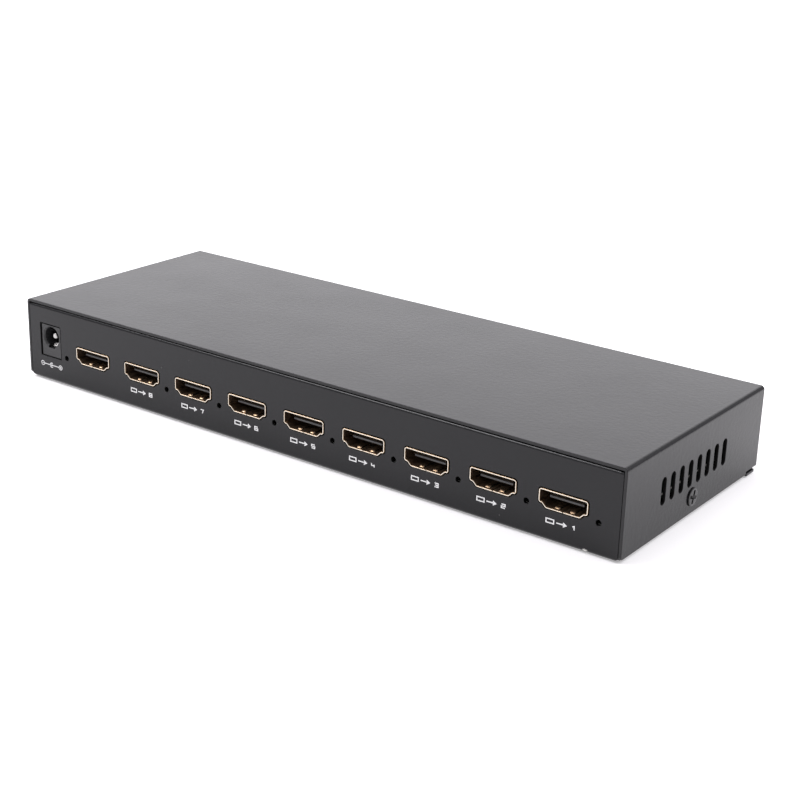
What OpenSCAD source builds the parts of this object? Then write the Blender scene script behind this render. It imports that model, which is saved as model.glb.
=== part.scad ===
// One-in, eight-out video splitter in a flat folded-steel case.
// A U-shaped cover slides over a U-shaped tray; the tray carries the circuit
// board with nine 19-contact video sockets and one barrel power jack.
// Millimetres, +Z up. The port panel faces -Y, the power jack is at -X.
// Origin: centre of the footprint, on the surface the feet stand on.

/* [Case] */
// Width of the case across the port panel
case_w = 219; // [218:0.5:226]
// Depth of the case from the port panel to the plain panel
case_d = 79.5; // [78.5:0.5:90]
// Height of the case without its feet
case_h = 25.9; // [24.9:0.5:32.4]
// Thickness of the folded steel sheet
sheet = 0.9; // [0.7:0.1:0.9]
// Outer radius of the two long folds of the cover
cover_bend_r = 1.2; // [1.2:0.1:2.4]
// Outer radius of the four folds of the tray
tray_bend_r = 1.1; // [1:0.1:1.6]
// Gap between cover and tray
seam = 0.15; // [0.1:0.05:0.3]
// Distance of the cover's lower edges above the underside of the case
wall_lift = 0.7; // [0.2:0.1:0.9]
// Depth of the return flanges along the tops of the two panels
flange = 6; // [4:0.5:8]

/* [Side vents] */
// Number of vent slots in each side of the cover
vent_count = 8; // [4:1:9]
// Width of one vent slot
vent_w = 2.6; // [1.8:0.1:3]
// Height of one vent slot
vent_h = 7.9; // [5:0.1:9]
// Distance between neighbouring slots
vent_pitch = 5.05; // [4:0.01:5.3]
// Distance of the first slot from the port panel
vent_first = 20.7; // [18:0.1:24]
// Height of the slots' centre above the underside of the case
vent_z = 13; // [12.4:0.1:14]

/* [Cover screws] */
// Distance of the screw from the port panel
screw_y = 38.1; // [34:0.1:42]
// Height of the screw above the underside of the case
screw_z = 5.6; // [5.4:0.1:6.2]
// Diameter of the screw head
screw_head_d = 5.2; // [5:0.1:5.8]
// Height of the screw head
screw_head_h = 0.5; // [0.4:0.1:1.2]

/* [Port row] */
// Distance between neighbouring video sockets
port_pitch = 21.49; // [21.3:0.01:21.6]
// Position of output 1 from the middle of the case
out1_x = 91.9; // [91:0.1:92.2]
// Height of the socket shells above the underside of the case
socket_z = 8.86; // [8.7:0.02:9.1]
// Distance that the socket rims stand out of the panel
rim_proud = 0.15; // [0.1:0.05:0.4]
// Clear gap between a socket rim and its panel cut-out
rim_gap = 0.3; // [0.25:0.05:0.45]
// Diameter of the indicator holes
led_hole_d = 1.7; // [1.5:0.1:2.2]
// Height of the indicator holes above the underside of the case
led_z = 9.2; // [9:0.1:9.4]
// Offset of an indicator from the socket that it belongs to
led_dx = 10.5; // [10.4:0.05:10.6]

/* [Video socket] */
// Outer width of a socket shell
shell_w = 14.65; // [14.6:0.05:14.9]
// Outer height of a socket shell
shell_h = 5.25; // [5.2:0.05:5.4]
// Wall thickness of a socket shell
shell_t = 0.35; // [0.3:0.05:0.35]
// Length of a socket shell
shell_l = 11.2; // [11:0.1:12]
// Distance from the panel face to the tip of the contact tongue
tongue_y = 1.9; // [1.8:0.1:2.1]

/* [Power jack] */
// Position of the jack from the middle of the case
jack_x = -99.2; // [-99.4:0.1:-98.8]
// Height of the barrel's centre above the underside of the case
jack_z = 14.7; // [14.5:0.1:14.9]
// Distance of the jack's face behind the face of the panel
jack_set = 0.3; // [0.1:0.05:0.4]
// Radius of the barrel hole
barrel_r = 3.2; // [3:0.05:3.25]
// Radius of the centre pin
pin_r = 1; // [0.9:0.05:1.2]

/* [Board] */
// Height of the board's upper face above the underside of the case
board_top = 8.25; // [8.1:0.05:8.3]
// Thickness of the board
board_t = 1.6; // [1.2:0.1:1.6]
// Depth of the board
board_d = 60; // [58:1:64]

/* [Feet] */
// Height of the stick-on feet
foot_h = 0.5; // [0.5:0.1:3]
// Diameter of the feet
foot_d = 8; // [6:0.5:12]
// Distance of the feet's centres from the edges of the case
foot_inset = 14; // [10:0.5:20]

/* [Hidden] */

$fn = 40;
y0 = -case_d/2 + rim_proud/2;      // outer face of the port panel
y1 = y0 + case_d;                  // outer face of the plain panel
zb = foot_h;                       // underside of the case
zt = zb + case_h;                  // top of the case
zp = zb + board_top;               // upper face of the board
zf = zt - sheet - seam;            // top of the return flanges
wall_z = zb + wall_lift;           // lower edge of the cover's sides
tray_w = case_w - 2*(sheet + seam);
board_w = 209.5;
board_y0 = y0 + 1.6;
notch_y = y0 + case_d - 6.8;       // start of the cover's corner notches
jack_zc = zb + jack_z;
jack_y = y0 + jack_set;            // face of the jack
jack_zb = zp - jack_zc;            // board face in the jack's own frame
leg_drop = board_t + 0.6;          // reach of solder legs below the board face
socket_zb = board_top - socket_z;  // board face in a socket's own frame
stand_xy = [for (x = [-88, 0, 88], y = [20, 56]) [x, y0 + y]];

steel = [0.10, 0.10, 0.105];
gold = [0.86, 0.70, 0.42];
black = [0.05, 0.05, 0.05];
tin = [0.75, 0.75, 0.77];

// Socket 0 is the input, sockets 1 to 8 are the outputs.
function port_x(k) = k == 0 ? out1_x - 8*port_pitch : out1_x - (k - 1)*port_pitch;
// Place between a socket and its indicator
function panel_cut(k) = port_x(k) + 8.65;
// Points on a circular arc
function arc(c, r, a0, a1, n = 5) =
  [for (i = [0:n]) c + r*[cos(a0 + (a1 - a0)*i/n), sin(a0 + (a1 - a0)*i/n)]];
function mirror_x(p) = [for (i = [len(p) - 1:-1:0]) [-p[i][0], p[i][1]]];

// Right half of the socket outline, grown by g: top corner, shoulder,
// hollow below the shoulder, 45 degree flank and bottom corner.
sk_rt = 0.8; sk_rs = 0.75; sk_rc = 0.6; sk_rb = 0.7; sk_zs = 1.2; sk_xq = 5.05;
function socket_half(g) = concat(
  arc([shell_w/2 - sk_rt, shell_h - sk_rt], sk_rt + g, 90, 0),
  arc([shell_w/2 - sk_rs, sk_zs + sk_rs], sk_rs + g, 0, -90),
  arc([sk_xq + sk_zs + (sqrt(2) - 1)*sk_rc, sk_zs - sk_rc], sk_rc - g, 90, 135, 3),
  arc([sk_xq - (sqrt(2) - 1)*sk_rb, sk_rb], sk_rb + g, -45, -90, 3));
function socket_outline(g) = concat(socket_half(g), mirror_x(socket_half(g)));

// Profile in Y-Z, extruded along X about the middle
module along_x(l) translate([-l/2, 0, 0]) rotate([90, 0, 90]) linear_extrude(l) children();
// Profile in X-Z, extruded from y = a to y = b
module along_y(a, b) translate([0, b, 0]) rotate([90, 0, 0]) linear_extrude(b - a) children();
module slot2d(w, h) polygon(concat(
  arc([0, (h - w)/2], w/2, 0, 180, 10), arc([0, -(h - w)/2], w/2, 180, 360, 10)));
module box(lo, hi) translate(lo) cube(hi - lo);

// ---------------------------------------------------------------- case
module top_cover() color(steel) difference() {
  hw = case_w/2; r = cover_bend_r; ri = r - sheet;
  along_y(y0, y1) polygon(concat(
    [[-hw, wall_z]],
    arc([-hw + r, zt - r], r, 180, 90, 8), arc([hw - r, zt - r], r, 90, 0, 8),
    [[hw, wall_z], [hw - sheet, wall_z]],
    arc([hw - r, zt - r], ri, 0, 90, 8), arc([-hw + r, zt - r], ri, 90, 180, 8),
    [[-hw + sheet, wall_z]]));
  // vent slots and screw holes, through both sides
  for (i = [0:vent_count - 1])
    translate([0, y0 + vent_first + i*vent_pitch, zb + vent_z]) along_x(case_w + 4) slot2d(vent_w, vent_h);
  translate([0, y0 + screw_y, zb + screw_z]) rotate([0, 90, 0]) cylinder(r = 1.7, h = case_w + 4, center = true);
  // notches over the tray's corner tabs, rounded corners at the port panel
  box([-hw - 1, notch_y, zb - 1], [hw + 1, y1 + 1, zb + 1.6]);
  along_x(case_w + 4) polygon(concat(
    arc([y0 + 1, wall_z + 1], 1, 180, 270, 5),
    [[y0 + 1, wall_z - 1], [y0 - 1, wall_z - 1], [y0 - 1, wall_z + 1]]));
}

// One folded sheet: underside, port panel and plain panel with return flanges.
module folded_tray() difference() {
  r = tray_bend_r; ri = r - sheet;
  union() {
    along_x(tray_w) polygon(concat(
      [[y0 + flange, zf]],
      arc([y0 + r, zf - r], r, 90, 180, 7), arc([y0 + r, zb + r], r, 180, 270, 7),
      arc([y1 - r, zb + r], r, 270, 360, 7), arc([y1 - r, zf - r], r, 0, 90, 7),
      [[y1 - flange, zf], [y1 - flange, zf - sheet]],
      arc([y1 - r, zf - r], ri, 90, 0, 7), arc([y1 - r, zb + r], ri, 360, 270, 7),
      arc([y0 + r, zb + r], ri, 270, 180, 7), arc([y0 + r, zf - r], ri, 180, 90, 7),
      [[y0 + flange, zf - sheet]]));
    // upright tabs that take the cover screws
    for (s = [-1, 1]) translate([s*(tray_w/2 - sheet/2), y0 + screw_y, 0]) along_x(sheet)
      polygon([[-7, zb + 0.5], [7, zb + 0.5], [7, zb + 7.3], [5.5, zb + 8.8], [-5.5, zb + 8.8], [-7, zb + 7.3]]);
    // corner tabs under the cover's notches
    for (s = [0, 1]) mirror([s, 0, 0]) translate([0, 0, zb]) linear_extrude(sheet - 0.1) polygon(concat(
      [[tray_w/2 - 3, notch_y + 0.5], [case_w/2, notch_y + 0.5]],
      arc([case_w/2 - 1.2, y1 - tray_bend_r - 1.2], 1.2, 0, 90, 5), [[tray_w/2 - 3, y1 - tray_bend_r]]));
  }
  // socket, jack and indicator cut-outs of the port panel
  for (k = [0:8]) translate([port_x(k), 0, zb + socket_z]) along_y(y0 - 1, y0 + sheet + 0.1) polygon(socket_outline(rim_gap));
  box([jack_x - 4.73, y0 - 1, zp - 0.3], [jack_x + 4.73, y0 + sheet + 0.1, zp + 10.75]);
  for (x = concat([port_x(0) - led_dx - 1.5], [for (k = [1:8]) port_x(k) + led_dx]))
    translate([x, y0 + sheet/2, zb + led_z]) rotate([90, 0, 0]) cylinder(d = led_hole_d, h = sheet + 2, center = true);
  // notched ends of the two upper folds
  for (s = [-1, 1]) box([s*(tray_w/2 + 0.5) - 1.5, y0 - 1, zf - 0.32], [s*(tray_w/2 + 0.5) + 1.5, y1 + 1, zf + 1]);
  // clearance for the cover screws, relieved lower corners of the port panel
  translate([0, y0 + screw_y, zb + screw_z]) rotate([0, 90, 0]) cylinder(r = 1.5, h = case_w + 4, center = true);
  for (s = [0, 1]) mirror([s, 0, 0]) along_y(y0 - 1, y0 + 1.5)
    polygon([[tray_w/2 - 1.4, zb - 0.01], [tray_w/2 + 1, zb + 1.23], [tray_w/2 + 1, zb - 0.01]]);
}
// The port panel with its folds, between two places along X
module panel_zone(a, b) {
  box([a, y0 - 1, zb - 1], [b, y0 + tray_bend_r + 0.5, zf + 1]);
  box([a, y0 - 1, zf - 3], [b, y0 + flange + 1, zf + 1]);
}
// The sheet is drawn in four lengths that meet face to face.
module chassis_tray() color(steel) difference() { folded_tray(); panel_zone(-case_w, case_w); }
module port_panel_left() color(steel) intersection() { folded_tray(); panel_zone(-case_w, panel_cut(7)); }
module port_panel_middle() color(steel) intersection() { folded_tray(); panel_zone(panel_cut(7), panel_cut(4)); }
module port_panel_right() color(steel) intersection() { folded_tray(); panel_zone(panel_cut(4), case_w); }

// Pan-head screw along +Z: the head sits on z = 0, the shank points down.
module pan_screw(hd, hh, sd, sl) difference() {
  rotate_extrude() polygon(concat([[0, -sl], [sd/2 - 0.3, -sl], [sd/2, -sl + 0.3], [sd/2, 0], [hd/2, 0], [hd/2, hh*0.55]],
    [for (i = [1:6]) let (a = 15*i) [(hd/2 - 0.6) + 0.6*cos(a), hh*0.55 + hh*0.37*sin(a)]], [[0, hh]]));
  for (a = [0, 90]) rotate([0, 0, a]) translate([-hd*0.33, -0.38, hh - min(0.9, 0.8*hh)]) cube([hd*0.66, 0.76, 2]);
}
module cover_screws() color(black) for (s = [-1, 1])
  translate([s*case_w/2, y0 + screw_y, zb + screw_z]) rotate([0, s*90, 0]) rotate([0, 0, -17])
    pan_screw(screw_head_d, screw_head_h, 2.9, 4.6);

module rubber_feet() color([0.08, 0.08, 0.08]) for (x = [-1, 1], y = [-1, 1])
  translate([x*(case_w/2 - foot_inset), (y0 + y1)/2 + y*(case_d/2 - foot_inset), 0]) rotate_extrude() polygon(concat(
    [[0, 0]], arc([foot_d/2 - 0.5, 0.3], 0.3, -90, 0, 4), [[foot_d/2, foot_h], [0, foot_h]]));

// ---------------------------------------------------------------- board
module circuit_board() color([0.05, 0.25, 0.12]) difference() {
  translate([-board_w/2, board_y0, zp - board_t]) cube([board_w, board_d, board_t]);
  for (p = stand_xy) translate([p[0], p[1], zp - 5]) cylinder(r = 1.6, h = 10);
  for (k = [0:8], s = [-1, 1], y = [3.2, 8.2])
    box([port_x(k) + s*7.3 - 0.5, y0 + y - 0.25, zp - 5], [port_x(k) + s*7.3 + 0.5, y0 + y + 1.85, zp + 5]);
  box([jack_x - 1.5, jack_y + 11.3, zp - 5], [jack_x + 1.5, jack_y + 12.2, zp + 5]);
  box([jack_x - 1.5, jack_y + 14, zp - 5], [jack_x + 1.5, jack_y + 14.9, zp + 5]);
  box([jack_x + 3.85, jack_y + 8.2, zp - 5], [jack_x + 4.75, jack_y + 10.8, zp + 5]);
}
module board_standoffs() color(tin) for (p = stand_xy) translate([p[0], p[1], zb + sheet]) difference() {
  cylinder(r = 3, h = board_top - board_t - sheet, $fn = 6);
  translate([0, 0, 0.8]) cylinder(r = 1.25, h = 10);
}
module board_screws() color(tin) for (p = stand_xy) translate([p[0], p[1], zp]) pan_screw(5.2, 1.6, 2.4, 4.6);

// ---------------------------------------------------------------- power jack
// Own frame: y = 0 is the jack's face, the barrel's axis is along Y.
module at_jack() translate([jack_x, jack_y, jack_zc]) children();
module jack_body() color(black) at_jack() difference() {
  union() {
    box([-4.2, 0, jack_zb], [4.2, 3.5, jack_zb + 10.3]);
    along_y(3.4, 14.2) polygon([[-4.1, jack_zb], [4.1, jack_zb], [4.1, 2.4], [2.9, 3.6], [-2.9, 3.6], [-4.1, 2.4]]);
  }
  translate([0, -1, 0]) rotate([-90, 0, 0]) cylinder(r = barrel_r, h = 11.6);
  translate([0, -0.02, 0]) rotate([-90, 0, 0]) cylinder(r1 = barrel_r + 0.47, r2 = barrel_r, h = 0.47);
  translate([0, 5, 0]) rotate([-90, 0, 0]) cylinder(r = pin_r - 0.43, h = 12);
  // keyhole lobe, room for the sleeve spring and the way out for its tail
  box([-1.45, -1, -3.65], [1.45, 12.8, -2]);
  box([-1.45, 1.4, -5.4], [1.45, 12.8, -2]);
  box([-1.45, 11.4, -9], [1.45, 12.8, -4]);
}
module jack_centre_pin() color(tin) at_jack() union() {
  rotate([-90, 0, 0]) rotate_extrude() polygon(concat([[0, 14.6], [0, 1.45]],
    arc([pin_r - 0.45, 1.9], 0.45, -90, 0, 5),
    [[pin_r, 10.5], [pin_r - 0.45, 10.5], [pin_r - 0.45, 14.2], [1.7, 14.2], [1.7, 14.6]]));
  box([-1.2, 14.3, jack_zb - leg_drop], [1.2, 14.6, 0]);
}
// Leaf spring that presses on the plug's sleeve; it swings about its rear end.
module jack_sleeve_spring() color(tin) at_jack() along_x(2.3) polygon(concat(
  arc([11.2, -4.05], 0.15, -90, 90, 6),
  [[8.2, -3.55], [5, -2.82], [3.6, -2.5], [3.1, -2.42], [2.7, -2.55], [1.75, -3.45],
   [1.95, -3.67], [2.85, -2.83], [3.15, -2.72], [3.65, -2.8], [5, -3.13], [8.1, -3.85]]));
module jack_sleeve_terminal() color(tin) at_jack() union() {
  box([-1.15, 11.6, jack_zb - leg_drop], [1.15, 11.9, -3.75]);
  box([-1.15, 11.6, -4.05], [1.15, 12.7, -3.75]);
}
module jack_switch_contact() color(tin) at_jack() union() {
  box([4.15, 8.5, jack_zb - leg_drop], [4.45, 10.5, -2]);
  box([4.15, 5.2, -3], [4.45, 10.5, -2]);
}

// ---------------------------------------------------------------- video sockets
// Own frame: x = 0 is the socket's middle, y = 0 the panel face, z = 0 the shell's underside.
module at_port(k) translate([port_x(k), y0, zb + socket_z]) children();
module socket_shell(k) color(gold) at_port(k) difference() {
  union() {
    along_y(-rim_proud, shell_l - rim_proud) difference() { polygon(socket_outline(0)); polygon(socket_outline(-shell_t)); }
    for (s = [-1, 1], y = [3.2, 8.2]) translate([s*(shell_w/2 - shell_t/2), y + 0.8, 0])
      box([-shell_t/2, -0.8, socket_zb - leg_drop], [shell_t/2, 0.8, sk_zs + sk_rs + 0.4]);
    // crowns of the two spring fingers
    for (s = [-1, 1]) translate([s*2.25, 1.75, shell_t]) intersection() {
      translate([0, 0, -0.9]) rotate([0, 90, 0]) cylinder(r = 1.2, h = 1.3, center = true);
      box([-1, -1, -0.2], [1, 1, 1]);
    }
  }
  // slits around the fingers, seam of the folded shell, rear opening for the tails
  for (s = [-1, 1], e = [-1, 1]) box([s*2.25 + e*0.85 - 0.12, 0.7, -1], [s*2.25 + e*0.85 + 0.12, 7.2, shell_t + 0.1]);
  for (s = [-1, 1]) box([s*2.25 - 0.97, 0.7, -1], [s*2.25 + 0.97, 0.95, shell_t + 0.1]);
  box([-0.08, -1, -1], [0.08, shell_l, shell_t + 0.1]);
  box([-5, 9, -1], [5, shell_l + 1, 2]);
}
tg_z = shell_h/2 + 0.12;   // middle of the contact tongue
tg_h = 0.62;        // half of its thickness
module contact_bars() {
  for (r = [0, 1], i = [0:9 - r]) translate([-4.5 + r*0.5 + i, 0, 0]) {
    z = r == 0 ? tg_z + tg_h - 0.06 : tg_z - tg_h - 0.06;
    box([-0.15, 2.7, z], [0.15, 10.8, z + 0.12]);
    box([-0.15, 10.65, socket_zb], [0.15, 10.8, z + 0.12]);
    box([-0.15, 10.65, socket_zb], [0.15, 12, socket_zb + 0.15]);
  }
}
module socket_insulator(k) color(black) at_port(k) difference() {
  union() {
    along_y(6.6, 10.65) polygon(socket_outline(-shell_t - 0.03));
    along_x(10.2) polygon([[7, tg_z - tg_h], [7, tg_z + tg_h], [2.45, tg_z + tg_h], [tongue_y, tg_z + 0.25], [tongue_y, tg_z - 0.25], [2.45, tg_z - tg_h]]);
    box([-4.8, 9.1, socket_zb], [4.8, 10.65, 1]);
  }
  contact_bars();
}
module socket_contacts(k) color(gold) at_port(k) contact_bars();

// ---------------------------------------------------------------- indicators
module led_at(x) translate([x, y0 + 1.9, zp]) {
  difference() {
    box([-1.5, 0.2, 0], [1.5, 1.4, 2.2]);
    translate([0, 0.1, led_z - board_top]) rotate([-90, 0, 0]) cylinder(r = 0.75, h = 0.5);
  }
  translate([0, -0.2, led_z - board_top]) rotate([-90, 0, 0]) rotate_extrude()
    polygon(concat([[0, 0.8], [0, 0]], arc([0.3, 0.4], 0.4, -90, 0, 4), [[0.7, 0.8]]));
}
module power_led() color([0.85, 0.85, 0.8]) led_at(port_x(0) - led_dx - 1.5);
module output_leds() color([0.85, 0.85, 0.8]) for (k = [1:8]) led_at(port_x(k) + led_dx);

// ---------------------------------------------------------------- parts on the board
chip_xy = [[-42, y0 + 38], [48, y0 + 38]];
// Flat package: chamfered body and n leads on each listed side
module flat_pack(w, d, h, n, pitch, sides) union() {
  translate([0, 0, 0.1]) linear_extrude(h - 0.1) polygon([[-w/2 + 0.5, -d/2], [w/2, -d/2], [w/2, d/2], [-w/2, d/2], [-w/2, -d/2 + 0.5]]);
  for (a = sides, i = [0:n - 1]) rotate([0, 0, a]) translate([(i - (n - 1)/2)*pitch, 0, 0])
    let (e = (a % 180 == 0 ? d : w)/2) { box([-pitch*0.25, e - 0.2, h*0.4], [pitch*0.25, e + 0.35, h*0.4 + 0.15]);
      box([-pitch*0.25, e + 0.2, 0], [pitch*0.25, e + 0.35, h*0.4 + 0.15]); box([-pitch*0.25, e + 0.2, 0], [pitch*0.25, e + 0.9, 0.15]); }
}
module splitter_chips() color(black) for (p = chip_xy) translate([p[0], p[1], zp]) flat_pack(14, 14, 1.5, 10, 1.2, [0, 90, 180, 270]);
module thermal_pads() color([0.6, 0.6, 0.65]) for (p = chip_xy) translate([p[0], p[1], zp + 1.5])
  linear_extrude(0.5) polygon(concat(arc([6, 6], 0.6, 0, 90), arc([-6, 6], 0.6, 90, 180), arc([-6, -6], 0.6, 180, 270), arc([6, -6], 0.6, 270, 360)));
module heat_sinks() color([0.25, 0.25, 0.27]) for (p = chip_xy) translate([p[0], p[1], zp + 2]) union() {
  box([-10, -10, 0], [10, 10, 1.8]);
  for (i = [0:6]) box([-10 + i*3.15, -10, 1.7], [-10 + i*3.15 + 1.1, 10, 8]);
}
module input_chip() color(black) translate([-79, y0 + 26, zp]) flat_pack(7, 7, 1.2, 8, 0.7, [0, 90, 180, 270]);
module controller_chip() color(black) translate([4, y0 + 30, zp]) flat_pack(6.5, 4.4, 1.1, 10, 0.65, [0, 180]);
module quartz_crystal() color(tin) translate([4, y0 + 40, zp]) union() {
  linear_extrude(0.6) polygon(concat(arc([4, 0.6], 1.8, 0, 90), arc([-4, 0.6], 1.8, 90, 180), arc([-4, -0.6], 1.8, 180, 270), arc([4, -0.6], 1.8, 270, 360)));
  linear_extrude(3.4) polygon(concat(arc([3.7, 0.4], 1.5, 0, 90), arc([-3.7, 0.4], 1.5, 90, 180), arc([-3.7, -0.4], 1.5, 180, 270), arc([3.7, -0.4], 1.5, 270, 360)));
}
module power_inductor() color([0.2, 0.2, 0.2]) translate([-94, y0 + 34, zp]) union() {
  linear_extrude(0.8) polygon(concat(arc([2.6, 2.6], 0.9, 0, 90), arc([-2.6, 2.6], 0.9, 90, 180), arc([-2.6, -2.6], 0.9, 180, 270), arc([2.6, -2.6], 0.9, 270, 360)));
  cylinder(r = 2.4, h = 3);
  translate([0, 0, 2.4]) cylinder(r = 3.2, h = 0.8);
}
module voltage_regulators() color(black) for (x = [-80, -70]) translate([x, y0 + 44, zp]) union() {
  box([-3.25, -1.75, 0.1], [3.25, 1.75, 1.7]);
  box([-1.5, 1.7, 0.1], [1.5, 3.5, 0.4]);
  for (i = [-1:1]) box([i*2.3 - 0.35, -3.5, 0.1], [i*2.3 + 0.35, -1.7, 0.4]);
}
module electrolytic_capacitors() color(tin) for (p = [[-94, 46], [-80, 54], [70, 54]]) translate([p[0], y0 + p[1], zp]) union() {
  linear_extrude(0.9) polygon([[-3.3, -3.3], [2.3, -3.3], [3.3, -2.3], [3.3, 2.3], [2.3, 3.3], [-3.3, 3.3]]);
  rotate_extrude() polygon(concat([[0, 0.5], [3.1, 0.5], [3.1, 1.6], [2.85, 1.9], [3.1, 2.2]], arc([2.7, 6.6], 0.4, 0, 90, 4), [[0, 7]]));
}
module surge_arrays() color(black) for (k = [0:8], s = [-1, 1]) translate([port_x(k) + s*3.2, y0 + 16, zp]) union() {
  box([-1.25, -0.5, 0.05], [1.25, 0.5, 0.6]);
  for (i = [-2:2]) box([i*0.5 - 0.12, -0.75, 0], [i*0.5 + 0.12, 0.75, 0.15]);
}
module chip_capacitors() color([0.7, 0.58, 0.42]) for (c = chip_xy, i = [0:5], s = [-1, 1])
  translate([c[0] + (i - 2.5)*3, c[1] + s*13, zp]) union() { box([-0.75, -0.4, 0], [0.75, 0.4, 0.7]); box([-0.8, -0.42, 0], [-0.5, 0.42, 0.75]); box([0.5, -0.42, 0], [0.8, 0.42, 0.75]); }
module resettable_fuse() color([0.15, 0.3, 0.2]) translate([-94, y0 + 25, zp]) union() {
  box([-2.2, -1.6, 0], [2.2, 1.6, 0.9]);
  box([-2.3, -1.65, 0], [-1.6, 1.65, 1]);
  box([1.6, -1.65, 0], [2.3, 1.65, 1]);
}

top_cover();
chassis_tray();
port_panel_left();
port_panel_middle();
port_panel_right();
cover_screws();
rubber_feet();
circuit_board();
board_standoffs();
board_screws();
jack_body();
jack_centre_pin();
jack_sleeve_spring();
jack_sleeve_terminal();
jack_switch_contact();
socket_shell(0);  // socket_in_shell
socket_insulator(0);  // socket_in_insulator
socket_contacts(0);  // socket_in_contacts
socket_shell(1);  // socket_out1_shell
socket_insulator(1);  // socket_out1_insulator
socket_contacts(1);  // socket_out1_contacts
socket_shell(2);  // socket_out2_shell
socket_insulator(2);  // socket_out2_insulator
socket_contacts(2);  // socket_out2_contacts
socket_shell(3);  // socket_out3_shell
socket_insulator(3);  // socket_out3_insulator
socket_contacts(3);  // socket_out3_contacts
socket_shell(4);  // socket_out4_shell
socket_insulator(4);  // socket_out4_insulator
socket_contacts(4);  // socket_out4_contacts
socket_shell(5);  // socket_out5_shell
socket_insulator(5);  // socket_out5_insulator
socket_contacts(5);  // socket_out5_contacts
socket_shell(6);  // socket_out6_shell
socket_insulator(6);  // socket_out6_insulator
socket_contacts(6);  // socket_out6_contacts
socket_shell(7);  // socket_out7_shell
socket_insulator(7);  // socket_out7_insulator
socket_contacts(7);  // socket_out7_contacts
socket_shell(8);  // socket_out8_shell
socket_insulator(8);  // socket_out8_insulator
socket_contacts(8);  // socket_out8_contacts
power_led();
output_leds();
splitter_chips();
thermal_pads();
heat_sinks();
input_chip();
controller_chip();
quartz_crystal();
power_inductor();
voltage_regulators();
electrolytic_capacitors();
surge_arrays();
chip_capacitors();
resettable_fuse();
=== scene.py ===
import math

import bpy
import bmesh
import numpy as np
from mathutils import Matrix, Vector
from mathutils.geometry import delaunay_2d_cdt


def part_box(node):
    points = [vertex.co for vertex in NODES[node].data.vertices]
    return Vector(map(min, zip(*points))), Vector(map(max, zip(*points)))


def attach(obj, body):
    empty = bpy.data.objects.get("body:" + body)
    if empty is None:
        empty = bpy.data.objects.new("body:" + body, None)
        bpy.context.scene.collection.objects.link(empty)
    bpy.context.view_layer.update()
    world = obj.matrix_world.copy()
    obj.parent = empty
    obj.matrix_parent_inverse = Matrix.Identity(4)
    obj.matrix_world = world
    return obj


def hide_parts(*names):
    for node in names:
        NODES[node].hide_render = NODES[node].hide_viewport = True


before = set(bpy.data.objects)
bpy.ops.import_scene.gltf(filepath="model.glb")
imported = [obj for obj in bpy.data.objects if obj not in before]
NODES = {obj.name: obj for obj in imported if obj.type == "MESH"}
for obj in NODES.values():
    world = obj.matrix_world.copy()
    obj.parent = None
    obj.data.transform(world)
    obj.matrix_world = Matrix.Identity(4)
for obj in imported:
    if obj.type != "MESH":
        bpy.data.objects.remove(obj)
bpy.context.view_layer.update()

MM = 0.001


def mm_box(node):
    lo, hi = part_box(node)
    return [v / MM for v in lo], [v / MM for v in hi]


# ------------------------------------------------------------------ sizes, in mm
SHEET, SEAM = 0.9, 0.09
cover_lo, cover_hi = mm_box("top_cover")
tray_lo, tray_hi = mm_box("chassis_tray")
HW = cover_hi[0]                       # half of the case's width
Y0, Y1 = cover_lo[1], cover_hi[1]      # port panel, plain panel
WALL_Z, ZT = cover_lo[2], cover_hi[2]  # lower edge and top of the cover
ZB, ZF = tray_lo[2], tray_hi[2]        # underside, top of the return flanges
R_COVER, R_TRAY, FLANGE = 1.2, 1.1, 6.0
TRAY_HW = HW - SHEET - SEAM
NOTCH_Y = Y1 - 6.8
VENT_N, VENT_W, VENT_H, VENT_P = 8, 2.6, 7.9, 5.05
VENT_Y, VENT_Z = Y0 + 20.7, ZB + 13.0
SCREW_Y, SCREW_Z = Y0 + 38.1, ZB + 5.6
LED_Z, LED_R = ZB + 9.2, 0.85
LED_DX = 10.5
PORTS = ["in"] + ["out%d" % k for k in range(1, 9)]
PORT_BOX = {p: mm_box("socket_%s_shell" % p) for p in PORTS}
PORT_X = {p: (b[0][0] + b[1][0]) / 2 for p, b in PORT_BOX.items()}
SHELL_W, SHELL_H, SHELL_T, SHELL_L = 14.65, 5.25, 0.35, 11.2
SHELL_Z = PORT_BOX["in"][1][2] - SHELL_H
RIM_PROUD, RIM_GAP = Y0 - PORT_BOX["in"][0][1], 0.3
jack_lo, jack_hi = mm_box("jack_body")
JACK_X = (jack_lo[0] + jack_hi[0]) / 2
BOARD_Z = mm_box("circuit_board")[1][2]


# ------------------------------------------------------------------ mesh tools
def make_object(name, verts, normals, faces, kinds, materials):
    """A mesh in millimetres with its own smooth normals, as an object in metres. kinds gives each face its material."""
    me = bpy.data.meshes.new(name)
    me.from_pydata([tuple(c * MM for c in v) for v in verts], [], faces)
    me.polygons.foreach_set("use_smooth", [True] * len(me.polygons))
    me.normals_split_custom_set_from_vertices([tuple(n) for n in normals])
    for m in materials:
        me.materials.append(m)
    me.polygons.foreach_set("material_index", [min(k, len(materials) - 1) for k in kinds])
    ob = bpy.data.objects.new(name, me)
    bpy.context.scene.collection.objects.link(ob)
    return ob


def object_from_bmesh(name, bm, material, sharp=35.0):
    bmesh.ops.recalc_face_normals(bm, faces=bm.faces)
    me = bpy.data.meshes.new(name)
    bm.to_mesh(me)
    bm.free()
    me.polygons.foreach_set("use_smooth", [True] * len(me.polygons))
    me.set_sharp_from_angle(angle=math.radians(sharp))
    me.materials.append(material)
    ob = bpy.data.objects.new(name, me)
    bpy.context.scene.collection.objects.link(ob)
    return ob


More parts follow.
